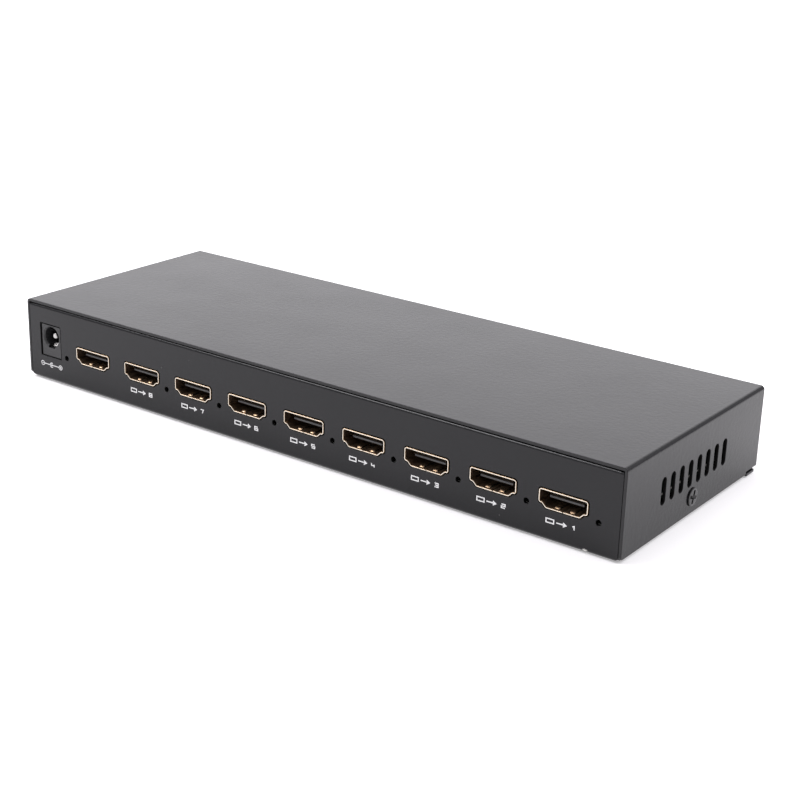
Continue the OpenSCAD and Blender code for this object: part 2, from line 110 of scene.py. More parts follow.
class Profile:
    """A sheet's outer line in its own plane: straight runs and bends. side is +1 if the outer face is on the left."""

    def __init__(self, start, heading, side):
        self.p = np.array(start, float)
        a = math.radians(heading)
        self.d = np.array([math.cos(a), math.sin(a)])
        self.side, self.u, self.segs, self.stations = side, 0.0, [], [0.0]
        self.marks = []

    def line(self, length):
        self.segs.append(("L", self.u, self.u + length, self.p.copy(), self.d.copy()))
        self.p = self.p + self.d * length
        self.u += length
        self.stations.append(self.u)
        return self

    def bend(self, r, deg, convex=True, n=8):
        turn = math.radians(deg) * (-self.side if convex else self.side)
        nrm = self.side * np.array([-self.d[1], self.d[0]])
        c = self.p - nrm * r if convex else self.p + nrm * r
        length = r * abs(turn)
        self.segs.append(("A", self.u, self.u + length, c, self.d.copy(), r, turn, convex))
        self.marks.append((self.u, self.u + length))
        for i in range(1, n + 1):
            self.stations.append(self.u + length * i / n)
        ca, sa = math.cos(turn), math.sin(turn)
        self.d = np.array([ca * self.d[0] - sa * self.d[1], sa * self.d[0] + ca * self.d[1]])
        nrm = self.side * np.array([-self.d[1], self.d[0]])
        self.p = c + nrm * r if convex else c - nrm * r
        self.u += length
        return self

    def at(self, u, w):
        """Point at length u and depth w below the outer face, with the tangent and the outer normal there."""
        seg = self.segs[-1]
        for s in self.segs:
            if u <= s[2] + 1e-9:
                seg = s
                break
        if seg[0] == "L":
            d = seg[4]
            n = self.side * np.array([-d[1], d[0]])
            return seg[3] + d * (u - seg[1]) - n * w, d, n
        _, a, b, c, d, r, turn, convex = seg
        t = turn * min(max((u - a) / (b - a), 0.0), 1.0)
        ca, sa = math.cos(t), math.sin(t)
        d = np.array([ca * d[0] - sa * d[1], sa * d[0] + ca * d[1]])
        n = self.side * np.array([-d[1], d[0]])
        return (c + n * (r - w) if convex else c - n * (r + w)), d, n


def area2(loop):
    return sum(a[0] * b[1] - b[0] * a[1] for a, b in zip(loop, loop[1:] + loop[:1]))


def rounded(pts, radius, n=4):
    """A closed outline with rounded corners. radius is one number, or one per corner; straight corners are kept."""
    out = []
    for i, p in enumerate(pts):
        r = radius if isinstance(radius, (int, float)) else radius[i]
        p = np.array(p, float)
        a = np.array(pts[i - 1], float) - p
        b = np.array(pts[(i + 1) % len(pts)], float) - p
        la, lb = np.linalg.norm(a), np.linalg.norm(b)
        a, b = a / la, b / lb
        c = float(np.dot(a, b))
        if r <= 0 or c < -0.999:
            out.append((p[0], p[1]))
            continue
        half = math.acos(max(-1.0, min(1.0, c))) / 2
        cut = min(r / math.tan(half), la * 0.49, lb * 0.49)
        rr = cut * math.tan(half)
        centre = p + (a + b) / np.linalg.norm(a + b) * (rr / math.sin(half))
        s, e = p + a * cut - centre, p + b * cut - centre
        a0, a1 = math.atan2(s[1], s[0]), math.atan2(e[1], e[0])
        da = (a1 - a0 + math.pi) % (2 * math.pi) - math.pi
        for k in range(n + 1):
            t = a0 + da * k / n
            out.append((centre[0] + rr * math.cos(t), centre[1] + rr * math.sin(t)))
    return out


def circle(cx, cy, r, n=32):
    return [(cx + r * math.cos(2 * math.pi * k / n), cy + r * math.sin(2 * math.pi * k / n)) for k in range(n)]


def slot(cu, cv, length, width, n=10):
    """Round-ended slot, long in u."""
    h, r = (length - width) / 2, width / 2
    a = [(cu + h + r * math.cos(t), cv + r * math.sin(t)) for t in np.linspace(-math.pi / 2, math.pi / 2, n + 1)]
    b = [(cu - h + r * math.cos(t), cv + r * math.sin(t)) for t in np.linspace(math.pi / 2, 1.5 * math.pi, n + 1)]
    return a + b


def inside(pts, loop):
    x, y = pts[:, 0], pts[:, 1]
    c = np.zeros(len(pts), bool)
    for (x1, y1), (x2, y2) in zip(loop, loop[1:] + loop[:1]):
        if abs(y1 - y2) < 1e-12:
            continue
        c ^= ((y1 > y) != (y2 > y)) & (x < x1 + (y - y1) / (y2 - y1) * (x2 - x1))
    return c


def bent_plate(prof, outline, holes, t, r, place, lines=(), disp=None, seg=3, r_hole=None, kind=None):
    """Folded sheet: a flat pattern with holes, laid along a profile, with rounded edges all round.
    place is (origin, a, b, c): where the profile's two axes and the pattern's v point.
    kind(part, u, v) numbers the faces by part: top, low, edge (cut outline) or hole (cut hole)."""
    O, A, B, C = (np.array(q, float) for q in place)
    r_hole = r if r_hole is None else r_hole
    loops = [outline if area2(outline) > 0 else outline[::-1]]
    loops += [h if area2(h) < 0 else h[::-1] for h in holes]
    V, N, F, K = [], [], [], []
    kind = kind or (lambda part, u, v: 0)

    def put(u, v, w, nu, nv, nw):
        if disp:
            d, du, dv = disp(u, v)
            w, nu, nv = w + d, nu + nw * du, nv + nw * dv
        p, tan, nor = prof.at(u, w)
        q = tan * nu + nor * nw
        n = q[0] * A + q[1] * B + nv * C
        V.append(O + p[0] * A + p[1] * B + v * C)
        N.append(n / np.linalg.norm(n))
        return len(V) - 1

    _, d0, n0 = prof.at(prof.u / 2, 0)
    flip = np.dot(np.cross(d0[0] * A + d0[1] * B, C), n0[0] * A + n0[1] * B) < 0

    def face(k, *ids):
        F.append(tuple(reversed(ids)) if flip else ids)
        K.append(k)

    flat, edges, top, low = [], [], [], []
    insets = []
    for li, loop in enumerate(loops):
        rr = r if li == 0 else r_hole
        P = np.array(loop, float)
        n = len(P)
        e = np.roll(P, -1, 0) - P
        L = np.linalg.norm(e, axis=1)
        left = np.stack([-e[:, 1], e[:, 0]], 1) / L[:, None]
        pl, pL = np.roll(left, 1, 0), np.roll(L, 1)
        miter = (pl + left) / (1 + (pl * left).sum(1))[:, None]
        out = -(pl * pL[:, None] + left * L[:, None])
        out /= np.linalg.norm(out, axis=1)[:, None]
        rings = []
        for k in range(seg + 1):
            a = math.pi / 2 * k / seg
            rings.append((rr * (1 - math.sin(a)), rr * (1 - math.cos(a)), math.sin(a), math.cos(a)))
        rings += [(i_, t - d_, s_, -c_) for i_, d_, s_, c_ in reversed(rings)]
        ids = []
        for inset, depth, s, c in rings:
            Q = P + miter * inset
            ids.append([put(Q[i, 0], Q[i, 1], depth, out[i, 0] * s, out[i, 1] * s, c) for i in range(n)])
        for step, (ra, rb) in enumerate(zip(ids, ids[1:])):
            part = "top" if step < seg else "low" if step > seg else "edge" if li == 0 else "hole"
            for i in range(n):
                j = (i + 1) % n
                face(kind(part, P[i, 0], P[i, 1]), ra[i], rb[i], rb[j], ra[j])
        base = len(flat)
        Q = P + miter * rr
        insets.append([tuple(q) for q in Q])
        flat += [tuple(q) for q in Q]
        edges += [(base + i, base + (i + 1) % n) for i in range(n)]
        top += ids[0]
        low += ids[-1]
    nb = len(flat)
    for a, b in lines:
        edges.append((len(flat), len(flat) + 1))
        flat += [tuple(a), tuple(b)]
    cv, _, cf, ov, _, _ = delaunay_2d_cdt([Vector(p) for p in flat], edges, [], 0, 1e-6)
    cv = np.array([(p[0], p[1]) for p in cv])
    mid = np.array([cv[list(f)].mean(0) for f in cf])
    ok = inside(mid, insets[0])
    for h in insets[1:]:
        ok &= ~inside(mid, h)
    tid, lid = {}, {}
    for f, keep in zip(cf, ok):
        if not keep:
            continue
        f = list(f)
        p = cv[f]
        ar = (p[1, 0] - p[0, 0]) * (p[2, 1] - p[0, 1]) - (p[2, 0] - p[0, 0]) * (p[1, 1] - p[0, 1])
        if abs(ar) < 1e-9:
            continue
        if ar < 0:
            f.reverse()
        for j in f:
            if j in tid:
                continue
            own = [o for o in ov[j] if o < nb]
            if own:
                tid[j], lid[j] = top[own[0]], low[own[0]]
            else:
                tid[j] = put(cv[j, 0], cv[j, 1], 0, 0, 0, 1)
                lid[j] = put(cv[j, 0], cv[j, 1], t, 0, 0, -1)
        u, v = cv[f].mean(0)
        face(kind("top", u, v), *[tid[j] for j in f])
        face(kind("low", u, v), *[lid[j] for j in reversed(f)])
    return V, N, F, K


def join(parts):
    V, N, F, K = [], [], [], []
    for v, n, f, m in parts:
        k = len(V)
        V += list(v)
        N += list(n)
        F += [tuple(i + k for i in q) for q in f]
        K += list(m)
    return V, N, F, K


def bend_lines(prof, v0, v1):
    return [((u, v0), (u, v1)) for u in prof.stations[1:-1]]


# ------------------------------------------------------------------ materials
class Nodes:
    def __init__(self, name):
        self.mat = bpy.data.materials.new(name)
        self.mat.use_nodes = True
        self.t = self.mat.node_tree
        self.t.nodes.clear()
        self.out = self.t.nodes.new("ShaderNodeOutputMaterial")
        self.bsdf = self.t.nodes.new("ShaderNodeBsdfPrincipled")
        self.t.links.new(self.bsdf.outputs[0], self.out.inputs[0])
        self.xyz = self.t.nodes.new("ShaderNodeTexCoord").outputs["Object"]

    def link(self, a, b):
        self.t.links.new(a, b)

    def node(self, kind, ins=None, **attrs):
        n = self.t.nodes.new(kind)
        for k, v in attrs.items():
            setattr(n, k, v)
        for k, v in (ins or {}).items():
            if hasattr(v, "is_output"):
                self.link(v, n.inputs[k])
            else:
                n.inputs[k].default_value = v
        return n

    def noise(self, scale, detail=2.0, rough=0.5, coord=None):
        return self.node("ShaderNodeTexNoise", {"Vector": coord or self.xyz, "Scale": scale, "Detail": detail, "Roughness": rough}).outputs[0]

    def remap(self, x, a, b, c, d):
        return self.node("ShaderNodeMapRange", {0: x, 1: a, 2: b, 3: c, 4: d}).outputs[0]

    def math(self, op, a, b=0.0, clamp=False):
        return self.node("ShaderNodeMath", {0: a, 1: b}, operation=op, use_clamp=clamp).outputs[0]

    def mix(self, fac, a, b):
        n = self.node("ShaderNodeMix", None, data_type="RGBA")
        for sock, val in ((n.inputs[0], fac), (n.inputs[6], a), (n.inputs[7], b)):
            if hasattr(val, "is_output"):
                self.link(val, sock)
            else:
                sock.default_value = val
        return n.outputs[2]

    def bump(self, height, dist, strength=1.0, normal=None):
        ins = {"Height": height, "Distance": dist, "Strength": strength}
        if normal is not None:
            ins["Normal"] = normal
        return self.node("ShaderNodeBump", ins).outputs[0]

    def set(self, **kw):
        for k, v in kw.items():
            sock = self.bsdf.inputs[k.replace("_", " ")]
            if hasattr(v, "is_output"):
                self.link(v, sock)
            else:
                sock.default_value = v


def rgb(r, g, b):
    return (r, g, b, 1.0)


def varied(name, a, b, scale, rough, rough_scale, bump_scale, bump_mm, metallic=0.0, detail=3.0, spec=0.5):
    """Two close tones, a roughness that drifts and a fine surface relief."""
    m = Nodes(name)
    m.set(Base_Color=m.mix(m.remap(m.noise(scale, detail), 0.3, 0.7, 0, 1), rgb(*a), rgb(*b)),
          Roughness=m.remap(m.noise(rough_scale, 3), 0.3, 0.7, rough[0], rough[1]),
          Metallic=metallic, Specular_IOR_Level=spec,
          Normal=m.bump(m.noise(bump_scale, 2), bump_mm * MM))
    return m.mat


def paint():
    """Black powder coat: fine pebbled skin, slightly uneven gloss, a few dust specks and one chip at the lower edge."""
    m = Nodes("case_paint")
    tone = m.mix(m.remap(m.noise(60, 4), 0.3, 0.7, 0, 1), rgb(0.0040, 0.0040, 0.0050), rgb(0.0052, 0.0052, 0.0064))
    grain = m.remap(m.noise(2600, 2), 0.62, 0.80, 0, 0.35)
    tone = m.mix(grain, tone, rgb(0.015, 0.015, 0.016))
    speck = m.node("ShaderNodeTexVoronoi", {"Vector": m.xyz, "Scale": 260.0, "Randomness": 1.0})
    dot = m.remap(speck.outputs["Distance"], 0.03, 0.06, 1, 0)
    pick = m.math("GREATER_THAN", m.node("ShaderNodeSeparateColor", {0: speck.outputs["Color"]}).outputs[0], 0.95)
    tone = m.mix(m.math("MULTIPLY", m.math("MULTIPLY", dot, pick), 0.25), tone, rgb(0.30, 0.30, 0.29))
    # chip in the paint on the lower edge of the port panel
    chip_at = m.node("ShaderNodeVectorMath", {0: m.xyz, 1: (CHIP[0] * MM, CHIP[1] * MM, CHIP[2] * MM)}, operation="SUBTRACT").outputs[0]
    chip_at = m.node("ShaderNodeVectorMath", {0: chip_at, 1: (0.8, 0.5, 1.2)}, operation="MULTIPLY").outputs[0]
    far = m.node("ShaderNodeVectorMath", {0: chip_at}, operation="LENGTH").outputs["Value"]
    far = m.math("ADD", far, m.math("MULTIPLY", m.math("SUBTRACT", m.noise(1900, 2), 0.5), 0.0011))
    tone = m.mix(m.remap(far, 0.00034, 0.00060, 1, 0), tone, rgb(0.62, 0.61, 0.58))
    peel = m.noise(820, 1.5, 0.45)
    fine = m.noise(2600, 1.0)
    nrm = m.bump(peel, 0.030 * MM)
    nrm = m.bump(fine, 0.008 * MM, 1.0, nrm)
    m.set(Base_Color=tone, Normal=nrm, IOR=1.377,
          Roughness=m.remap(m.math("ADD", m.noise(45, 3), m.math("MULTIPLY", m.noise(900, 2), 0.5)), 0.5, 1.0, 0.20, 0.26))
    return m.mat


def laminate():
    """Dark solder mask on the faces, a thin line of pale glass fibre on the sawn edges."""
    m = Nodes("board_laminate")
    mask = m.mix(m.remap(m.noise(120, 3), 0.3, 0.7, 0, 1), rgb(0.004, 0.011, 0.007), rgb(0.007, 0.016, 0.011))
    fibre = m.mix(m.remap(m.noise(2500, 2), 0.3, 0.7, 0, 1), rgb(0.38, 0.38, 0.36), rgb(0.46, 0.46, 0.43))
    up = m.math("ABSOLUTE", m.node("ShaderNodeSeparateXYZ", {0: m.node("ShaderNodeNewGeometry").outputs["True Normal"]}).outputs[2])
    high = m.math("GREATER_THAN", m.node("ShaderNodeSeparateXYZ", {0: m.xyz}).outputs[2], (BOARD_Z - 0.6) * MM)
    m.set(Base_Color=m.mix(m.math("MULTIPLY", m.math("LESS_THAN", up, 0.5), high), mask, fibre),
          Roughness=m.remap(m.noise(400, 3), 0.3, 0.7, 0.32, 0.45), Normal=m.bump(m.noise(3000, 2), 0.006 * MM))
    return m.mat


def insulator():
    """Dark moulded plastic, with a paler band on the front edge of the tongue as a painted highlight."""
    m = Nodes("socket_plastic")
    deep = m.mix(m.remap(m.noise(600, 3), 0.3, 0.7, 0, 1), rgb(0.017, 0.014, 0.011), rgb(0.024, 0.020, 0.016))
    front = m.mix(m.remap(m.noise(1500, 2), 0.3, 0.7, 0, 1), rgb(0.050, 0.050, 0.052), rgb(0.068, 0.068, 0.071))
    xyz = m.node("ShaderNodeSeparateXYZ", {0: m.xyz})
    # painted highlight: a paler band along the tongue's front edge, where it would catch the light
    off = m.math("ABSOLUTE", m.math("SUBTRACT", xyz.outputs[2], (SHELL_Z + 2.83) * MM))
    blunt = m.math("MULTIPLY", m.remap(off, 0.22 * MM, 0.30 * MM, 1, 0), m.remap(xyz.outputs[1], (Y0 + 2.0) * MM, (Y0 + 2.2) * MM, 1, 0))
    m.set(Base_Color=m.mix(blunt, deep, front),
          Roughness=m.remap(m.noise(1200, 3), 0.3, 0.7, 0.35, 0.50), Normal=m.bump(m.noise(5000, 2), 0.005 * MM))
    return m.mat


CHIP = (99.0, Y0, ZB + 0.55)
PAINT = paint()
EDGE = varied("cut_edge", (0.005, 0.005, 0.0055), (0.008, 0.008, 0.009), 900, (0.28, 0.36), 1500, 4000, 0.006, spec=0.36)
# dark, dull copy of the case finish for the punched hole walls: painted shade
HOLE_PAINTED_SHADE = varied("punched_edge_painted_shade", (0.003, 0.003, 0.003), (0.005, 0.005, 0.005), 1200, (0.55, 0.70), 1500, 4000, 0.006, spec=0.15)
SCREW = varied("screw_black", (0.008, 0.008, 0.009), (0.013, 0.013, 0.014), 900, (0.16, 0.24), 1400, 3000, 0.004)
# darker, duller copy of the screw finish: painted shade on the heads' sides and recess walls
SCREW_PAINTED_SHADE = varied("screw_side_painted_shade", (0.004, 0.004, 0.004), (0.007, 0.007, 0.007), 900, (0.5, 0.65), 1400, 3000, 0.004, spec=0.12)
RUBBER = varied("foot_rubber", (0.018, 0.018, 0.018), (0.032, 0.032, 0.033), 500, (0.70, 0.85), 700, 4000, 0.02)
LAMINATE = laminate()
STEEL = varied("plated_steel", (0.62, 0.62, 0.63), (0.74, 0.74, 0.75), 700, (0.22, 0.38), 1500, 4000, 0.004, 1.0)
JACK = varied("jack_plastic", (0.010, 0.010, 0.011), (0.016, 0.016, 0.017), 400, (0.36, 0.48), 900, 5000, 0.006)
NICKEL = varied("nickel_contact", (0.40, 0.39, 0.38), (0.52, 0.51, 0.50), 900, (0.22, 0.36), 1600, 4000, 0.003, 1.0)
# pale, nearly cream gold for the shells' cut rim edges is a painted highlight; shell_outside below is the darker copy
# of the same plating for the faces
GOLD = varied("socket_gold", (0.69, 0.672, 0.615), (0.75, 0.732, 0.675), 800, (0.16, 0.28), 1800, 5000, 0.003, 1.0)
# gold darkened for the shells' inner faces: painted shade
SHADED_GOLD = varied("shell_inside_painted_shade", (0.21, 0.145, 0.095), (0.27, 0.19, 0.13), 800, (0.40, 0.55), 1500, 5000, 0.004, 1.0)
DEEP_GOLD = varied("shell_outside", (0.42, 0.295, 0.175), (0.48, 0.34, 0.205), 800, (0.24, 0.36), 1800, 5000, 0.003, 1.0)
SOCKET_PLASTIC = insulator()
CONTACT_GOLD = varied("contact_gold", (0.86, 0.66, 0.34), (0.93, 0.74, 0.44), 900, (0.18, 0.30), 1800, 5000, 0.002, 1.0)
LED = varied("led_resin", (0.010, 0.010, 0.011), (0.018, 0.018, 0.019), 700, (0.18, 0.30), 900, 3000, 0.004)
EPOXY = varied("chip_epoxy", (0.014, 0.014, 0.015), (0.026, 0.026, 0.028), 900, (0.48, 0.62), 1500, 6000, 0.006)
PAD = varied("thermal_pad", (0.40, 0.42, 0.45), (0.52, 0.54, 0.57), 500, (0.65, 0.8), 900, 3000, 0.02)
SINK = varied("heat_sink_black", (0.020, 0.020, 0.022), (0.036, 0.036, 0.039), 700, (0.38, 0.52), 1200, 4000, 0.006, 0.6)
FERRITE = varied("ferrite", (0.030, 0.030, 0.032), (0.060, 0.060, 0.063), 900, (0.5, 0.68), 1500, 5000, 0.012)
CAN = varied("capacitor_can", (0.60, 0.60, 0.62), (0.74, 0.74, 0.76), 700, (0.28, 0.42), 1600, 5000, 0.004, 1.0)
CERAMIC = varied("ceramic", (0.42, 0.31, 0.20), (0.56, 0.43, 0.29), 1500, (0.45, 0.6), 2500, 6000, 0.006)
FUSE = varied("fuse_polymer", (0.030, 0.090, 0.050), (0.050, 0.130, 0.075), 1200, (0.4, 0.55), 2000, 6000, 0.006)
INK = varied("white_ink", (0.62, 0.62, 0.62), (0.72, 0.72, 0.72), 3000, (0.45, 0.6), 4000, 9000, 0.003)

for node, mat in {
        "jack_body": JACK, "jack_centre_pin": NICKEL, "jack_sleeve_spring": NICKEL, "jack_sleeve_terminal": NICKEL,
        "jack_switch_contact": NICKEL, "circuit_board": LAMINATE, "board_standoffs": STEEL, "board_screws": STEEL,
        "power_led": LED, "output_leds": LED, "splitter_chips": EPOXY, "thermal_pads": PAD, "heat_sinks": SINK,
        "input_chip": EPOXY, "controller_chip": EPOXY, "quartz_crystal": STEEL, "power_inductor": FERRITE,
        "voltage_regulators": EPOXY, "electrolytic_capacitors": CAN, "surge_arrays": EPOXY, "chip_capacitors": CERAMIC,
        "resettable_fuse": FUSE,
        **{"socket_%s_insulator" % p: SOCKET_PLASTIC for p in PORTS},
        **{"socket_%s_contacts" % p: CONTACT_GOLD for p in PORTS}}.items():
    me = NODES[node].data
    me.materials.clear()
    me.materials.append(mat)


# ------------------------------------------------------------------ socket outline
def socket_profile():
    """Outer line of a socket shell, from the seam under it all the way round."""
    rt, rs, rc, rb, zs, xq = 0.8, 0.75, 0.6, 0.7, 1.2, 5.05
    k = math.sqrt(2) - 1
    p = Profile((0.08, 0.0), 0, -1)
    flank = (zs - rc + rc * math.sqrt(0.5)) - (rb - rb * math.sqrt(0.5))
    run = [("line", xq - k * rb - 0.08), ("bend", rb, 45, True, 4), ("line", flank * math.sqrt(2)), ("bend", rc, 45, False, 4),
           ("line", SHELL_W / 2 - rs - (xq + zs + k * rc)), ("bend", rs, 90, True, 6), ("line", SHELL_H - rt - zs - rs),
           ("bend", rt, 90, True, 6)]
    for s in run:
        getattr(p, s[0])(*s[1:])
    p.line(SHELL_W - 2 * rt)
    for s in reversed(run):
        getattr(p, s[0])(*s[1:])
    return p


def socket_loop(g, cx, n=5):
    """Socket outline grown by g, in x and height, at a socket's middle."""
    rt, rs, rc, rb, zs, xq = 0.8, 0.75, 0.6, 0.7, 1.2, 5.05
    k = math.sqrt(2) - 1

    def arc(c, r, a0, a1, m):
        return [(c[0] + r * math.cos(math.radians(a0 + (a1 - a0) * i / m)), c[1] + r * math.sin(math.radians(a0 + (a1 - a0) * i / m))) for i in range(m + 1)]
    half = (arc((SHELL_W / 2 - rt, SHELL_H - rt), rt + g, 90, 0, n + 2) + arc((SHELL_W / 2 - rs, zs + rs), rs + g, 0, -90, n + 2)
            + arc((xq + zs + k * rc, zs - rc), rc - g, 90, 135, n) + arc((xq - k * rb, rb), rb + g, -45, -90, n))
    return [(cx + x, z) for x, z in half] + [(cx - x, z) for x, z in reversed(half)]


# ------------------------------------------------------------------ cover
def sheet_kind(part, u, v):
    """Paint on the faces, thin matt paint on the cut edges, and a dark dull copy on the punched hole walls as painted
    shade.
    """
    return {"edge": 1, "hole": 2}.get(part, 0)


def build_cover():
    wall = ZT - R_COVER - WALL_Z
    p = Profile((-HW, WALL_Z), 90, 1)
    p.line(wall).bend(R_COVER, 90, n=10).line(2 * (HW - R_COVER)).bend(R_COVER, 90, n=10).line(wall)
    U, dn = p.u, ZB + 1.6 - WALL_Z
    r = 0.14
    st = p.stations[1:-1]
    pts = [(0, Y0)] + [(u, Y0) for u in st] + [(U, Y0), (U, NOTCH_Y), (U - dn, NOTCH_Y), (U - dn, Y1)]
    pts += [(u, Y1) for u in reversed(st)] + [(dn, Y1), (dn, NOTCH_Y), (0, NOTCH_Y)]
    rad = [1.0] + [0] * len(st) + [1.0, 0.35, 0.35, 0.45] + [0] * len(st) + [0.45, 0.35, 0.35]
    holes = []
    for i in range(VENT_N):
        v, h = VENT_Y + i * VENT_P, VENT_Z - WALL_Z
        holes += [slot(h, v, VENT_H, VENT_W), slot(U - h, v, VENT_H, VENT_W)]
    h = SCREW_Z - WALL_Z
    holes += [circle(h, SCREW_Y, 1.7), circle(U - h, SCREW_Y, 1.7)]
    mesh = bent_plate(p, rounded(pts, rad, 5), holes, SHEET, r, ((0, 0, 0), (1, 0, 0), (0, 0, 1), (0, 1, 0)),
                      lines=bend_lines(p, Y0 + r, Y1 - r), r_hole=0.1, kind=sheet_kind)
    return make_object("cover_panel", *mesh, [PAINT, EDGE, HOLE_PAINTED_SHADE])


# ------------------------------------------------------------------ tray
def build_tray():
    r = 0.2
    p = Profile((Y0 + FLANGE, ZF), 180, -1)
    p.line(FLANGE - R_TRAY).bend(R_TRAY, 90, n=8).line(ZF - ZB - 2 * R_TRAY).bend(R_TRAY, 90, n=8)
    p.line(Y1 - Y0 - 2 * R_TRAY).bend(R_TRAY, 90, n=8).line(ZF - ZB - 2 * R_TRAY).bend(R_TRAY, 90, n=8).line(FLANGE - R_TRAY)
    (b1, e1), (b2, e2), (b3, e3), (b4, e4) = p.marks
    U = p.u
    cut_u = b2 + 0.39
    un = b1 + R_TRAY * math.acos(1 - 0.32 / R_TRAY)  # notched ends of the two upper folds
    um = U - un
    ext = HW - TRAY_HW
    ta, tb = e2 + (NOTCH_Y + 0.5 - (Y0 + R_TRAY)), b3 - 0.02
    # one side edge of the flat pattern: (length, distance outwards, corner radius)
    side = [(u, -1.0, 0) for u in p.stations[1:-1] if u < un - 0.05] + [(un, -1.0, 0.12), (un, 0.0, 0.12)]
    side += [(u, 0.0, 0) for u in p.stations[1:-1] if un + 0.05 < u <= cut_u - 0.05]
    side.append((cut_u, 0.0, 0.1))
    side += [(u, -1.4 * (u - cut_u) / (e2 - cut_u), 0) for u in p.stations if cut_u + 0.05 < u < e2 - 0.05]
    side += [(e2, -1.4, 0.1), (e2 + 0.4, -1.4, 0.15), (e2 + 0.4, 0.0, 0.15)]
    side += [(ta, 0.0, 0.2), (ta, ext, 0.3), (tb, ext, 1.0), (tb, 0.0, 0.15)]
    side += [(u, 0.0, 0) for u in p.stations[1:-1] if u >= b3 - 1e-6 and tb + 0.3 < u < um - 0.05]
    side += [(um, 0.0, 0.12), (um, -1.0, 0.12)] + [(u, -1.0, 0) for u in p.stations[1:-1] if u > um + 0.05]
    low = [(u, -(TRAY_HW + d), c) for u, d, c in side]
    high = [(u, TRAY_HW + d, c) for u, d, c in reversed(side)]
    fw = TRAY_HW - 1.0
    pts = [(0, -fw, 0.8)] + low + [(U, -fw, 0.8), (U, fw, 0.8)] + high + [(0, fw, 0.8)]
    outline = rounded([q[:2] for q in pts], [q[2] for q in pts], 5)
    zu = lambda z: e1 + (ZF - R_TRAY - z)
    holes = [[(zu(SHELL_Z + z), x) for x, z in socket_loop(RIM_GAP, PORT_X[k])] for k in PORTS]
    ja, jb = zu(BOARD_Z + 10.75), zu(BOARD_Z - 0.3)
    holes.append(rounded([(ja, JACK_X - 4.73), (jb, JACK_X - 4.73), (jb, JACK_X + 4.73), (ja, JACK_X + 4.73)], 0.2))
    holes += [circle(zu(LED_Z), x, LED_R, 28) for x in [PORT_X["in"] - LED_DX - 1.5] + [PORT_X[k] + LED_DX for k in PORTS[1:]]]
    lines = []
    for u in p.stations[1:-1]:
        w = TRAY_HW - r if un + 0.3 < u < um - 0.3 else fw - r - 0.05
        if not (cut_u - 0.05 < u < e2 + 0.05):
            lines.append(((u, -w), (u, w)))
    for u in p.stations:
        if cut_u - 0.05 < u < e2 + 0.05:
            w = TRAY_HW - 1.4 * max(0.0, u - cut_u) / (e2 - cut_u) - r - 0.05
            lines.append(((u, -w), (u, w)))
    panel = bent_plate(p, outline, holes, SHEET, r, ((0, 0, 0), (0, 1, 0), (0, 0, 1), (1, 0, 0)), lines=lines, r_hole=0.1, kind=sheet_kind)
    # upright tabs that take the cover screws
    tabs = []
    for s in (-1, 1):
        q = Profile((-7.0, 0.0), 0, -1 if s > 0 else 1)
        q.line(14.0)
        shape = [(0, ZB + SHEET), (14, ZB + SHEET), (14, ZB + 7.3), (12.5, ZB + 8.8), (1.5, ZB + 8.8), (0, ZB + 7.3)]
        tabs.append(bent_plate(q, rounded(shape, 0.3), [circle(7, SCREW_Z, 1.5)], SHEET, 0.15,
                               ((s * TRAY_HW, SCREW_Y, 0), (0, 1, 0), (-1, 0, 0), (0, 0, 1)) if s < 0 else
                               ((s * TRAY_HW, SCREW_Y, 0), (0, 1, 0), (-1, 0, 0), (0, 0, 1))))
    return make_object("tray_panel", *panel, [PAINT, EDGE, HOLE_PAINTED_SHADE]), make_object("tray_screw_tabs", *join(tabs), [PAINT])


# ------------------------------------------------------------------ sockets
FINGER_X, FINGER_A, FINGER_B, CREST = 2.25, 0.95, 7.2, 1.75


